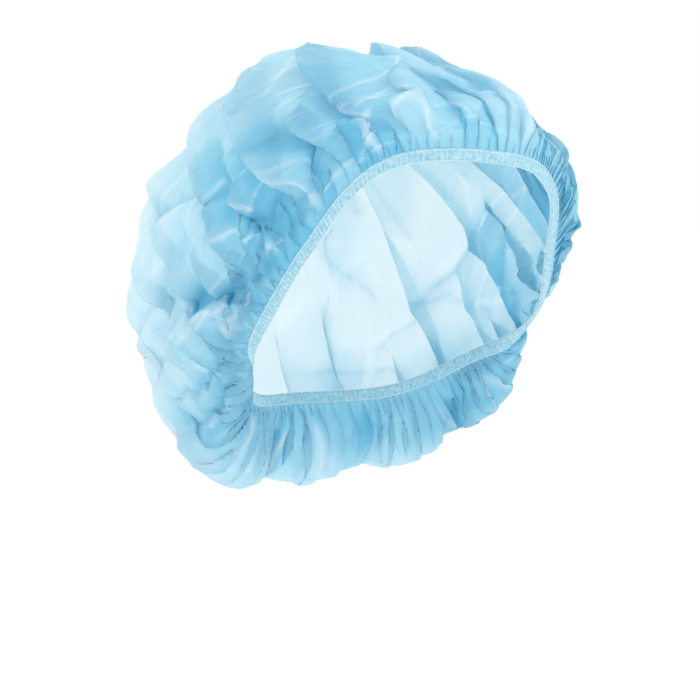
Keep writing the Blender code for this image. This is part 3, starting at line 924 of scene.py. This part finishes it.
def overlocked_edge():
    """The cloth's edge folded over the elastic and bound: several layers, so whiter and not see-through."""
    material = new_material("bound non-woven edge")
    place = add_node(material, "ShaderNodeTexCoord").outputs["Object"]
    mottle = add_node(material, "ShaderNodeTexNoise", {"Vector": place, "Scale": 1 / (1.8 * MM), "Detail": 4.0})
    blue = add_node(material, "ShaderNodeValToRGB", {"Fac": mottle.outputs["Fac"]})
    set_ramp(blue, ((0.30, linear("#8CCDE2")), (0.52, linear("#ACDBE9")), (0.72, linear("#CCE9F1"))))
    fibres = add_node(material, "ShaderNodeTexNoise", {"Vector": place, "Scale": 1 / (0.4 * MM), "Detail": 3.0})
    bump = add_node(
        material,
        "ShaderNodeBump",
        {"Height": fibres.outputs["Fac"], "Strength": 0.5, "Distance": 0.15 * MM},
    )
    cloth = add_node(
        material,
        "ShaderNodeBsdfPrincipled",
        {
            "Base Color": blue.outputs["Color"],
            "Roughness": 0.8,
            "Sheen Weight": 0.2,
            "Normal": bump.outputs[0],
        },
    )
    glow = add_node(material, "ShaderNodeBsdfTranslucent", {"Color": blue.outputs["Color"]})
    lit = add_node(material, "ShaderNodeMixShader", {0: 0.22, 1: cloth.outputs[0], 2: glow.outputs[0]})
    add_node(material, "ShaderNodeOutputMaterial", {"Surface": lit.outputs[0]})
    return material


def textured_polyester(name, light, shade):
    """Textured polyester overlock thread: a bulky, slightly hairy yarn, matt, with fine twist."""
    material = new_material(name)
    place = add_node(material, "ShaderNodeTexCoord").outputs["Object"]
    hairs = add_node(material, "ShaderNodeTexNoise", {"Vector": place, "Scale": 1 / (0.35 * MM), "Detail": 4.0})
    colour = add_node(material, "ShaderNodeValToRGB", {"Fac": hairs.outputs["Fac"]})
    set_ramp(colour, ((0.32, linear(shade)), (0.68, linear(light))))
    bump = add_node(
        material,
        "ShaderNodeBump",
        {"Height": hairs.outputs["Fac"], "Strength": 0.6, "Distance": 0.08 * MM},
    )
    yarn = add_node(
        material,
        "ShaderNodeBsdfPrincipled",
        {
            "Base Color": colour.outputs["Color"],
            "Roughness": 0.85,
            "Sheen Weight": 0.3,
            "Normal": bump.outputs[0],
        },
    )
    add_node(material, "ShaderNodeOutputMaterial", {"Surface": yarn.outputs[0]})
    return material


def make_camera():
    """A long lens level with the cap, in front of the wearer's right side."""
    forward = Vector(
        (
            -math.sin(CAMERA_AZIMUTH) * math.cos(CAMERA_ELEVATION),
            math.cos(CAMERA_AZIMUTH) * math.cos(CAMERA_ELEVATION),
            -math.sin(CAMERA_ELEVATION),
        )
    )
    right = Vector((math.cos(CAMERA_AZIMUTH), math.sin(CAMERA_AZIMUTH), 0.0))
    up = right.cross(forward)
    middle = VIEW_PIXELS / 2
    beside = (ORIGIN_PIXEL[0] - middle) / FOCAL_PIXELS * CAMERA_DISTANCE
    above = (middle - ORIGIN_PIXEL[1]) / FOCAL_PIXELS * CAMERA_DISTANCE
    place = -forward * CAMERA_DISTANCE - right * beside - up * above
    data = bpy.data.cameras.new("camera")
    data.sensor_width = SENSOR_WIDTH
    data.lens = FOCAL_PIXELS / VIEW_PIXELS * SENSOR_WIDTH
    camera = bpy.data.objects.new("camera", data)
    camera.matrix_world = Matrix.Translation(place) @ Matrix((right, up, -forward)).transposed().to_4x4()
    bpy.context.scene.collection.objects.link(camera)
    bpy.context.scene.camera = camera


def add_soft_light(name, place, size, power):
    """A square studio light, turned to the cap's middle."""
    data = bpy.data.lights.new(name, "AREA")
    data.size = size
    data.energy = power
    light = bpy.data.objects.new(name, data)
    light.location = place
    aim = Vector((0.0, 0.015, -0.05)) - Vector(place)
    light.rotation_euler = aim.to_track_quat("-Z", "Y").to_euler()
    bpy.context.scene.collection.objects.link(light)


def make_studio():
    """A white floor and surround, with a broad key from the upper right and a weaker fill."""
    world = bpy.data.worlds.new("white surround")
    world.use_nodes = True
    background = world.node_tree.nodes["Background"]
    background.inputs["Color"].default_value = linear("#FFFFFF")
    background.inputs["Strength"].default_value = 1.0
    bpy.context.scene.world = world
    bpy.context.scene.view_settings.view_transform = "Standard"
    add_soft_light("key", (0.55, -1.15, 0.95), 0.7, 7.0)
    add_soft_light("fill", (-1.30, -0.65, 0.35), 1.1, 2.0)
    add_soft_light("rim", (-0.35, 1.10, 0.80), 0.9, 2.5)
    mesh = bmesh.new()
    bmesh.ops.create_grid(mesh, x_segments=1, y_segments=1, size=6.0)
    bmesh.ops.translate(mesh, verts=mesh.verts, vec=(0.0, 0.0, FLOOR_HEIGHT))
    data = bpy.data.meshes.new("floor")
    mesh.to_mesh(data)
    mesh.free()
    material = new_material("white studio paper")
    paper = add_node(
        material,
        "ShaderNodeBsdfPrincipled",
        {
            "Base Color": linear("#FAFAFA"),
            "Roughness": 0.9,
            "Emission Color": linear("#FFFFFF"),
            "Emission Strength": 0.12,
        },
    )
    add_node(material, "ShaderNodeOutputMaterial", {"Surface": paper.outputs[0]})
    link_piece("floor", data, material)


crown_cloth = make_crown_cloth(non_woven_polypropylene())
edge_cloth = make_edge_cloth(overlocked_edge())
needle_thread = make_stitches(
    "needle_thread", textured_polyester("needle thread", "#E2F5FB", "#B4E1F1"), [needle_route], NEEDLE_RADIUS
)
looper_thread = make_stitches(
    "looper_thread",
    textured_polyester("looper thread", "#E3F0F4", "#B9D9E4"),
    [looper_route(1.0, 0.25), looper_route(-1.0, -0.25)],
    LOOPER_RADIUS,
)
purl_thread = make_stitches(
    "purl_thread", textured_polyester("purl thread", "#EAF2F4", "#C6DCE4"), [purl_route], PURL_RADIUS
)

threads = [needle_thread, looper_thread, purl_thread]
for piece in [crown_cloth, edge_cloth, *threads]:
    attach(piece, "root")
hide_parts("crown")
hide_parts("elastic_band")

make_camera()
make_studio()
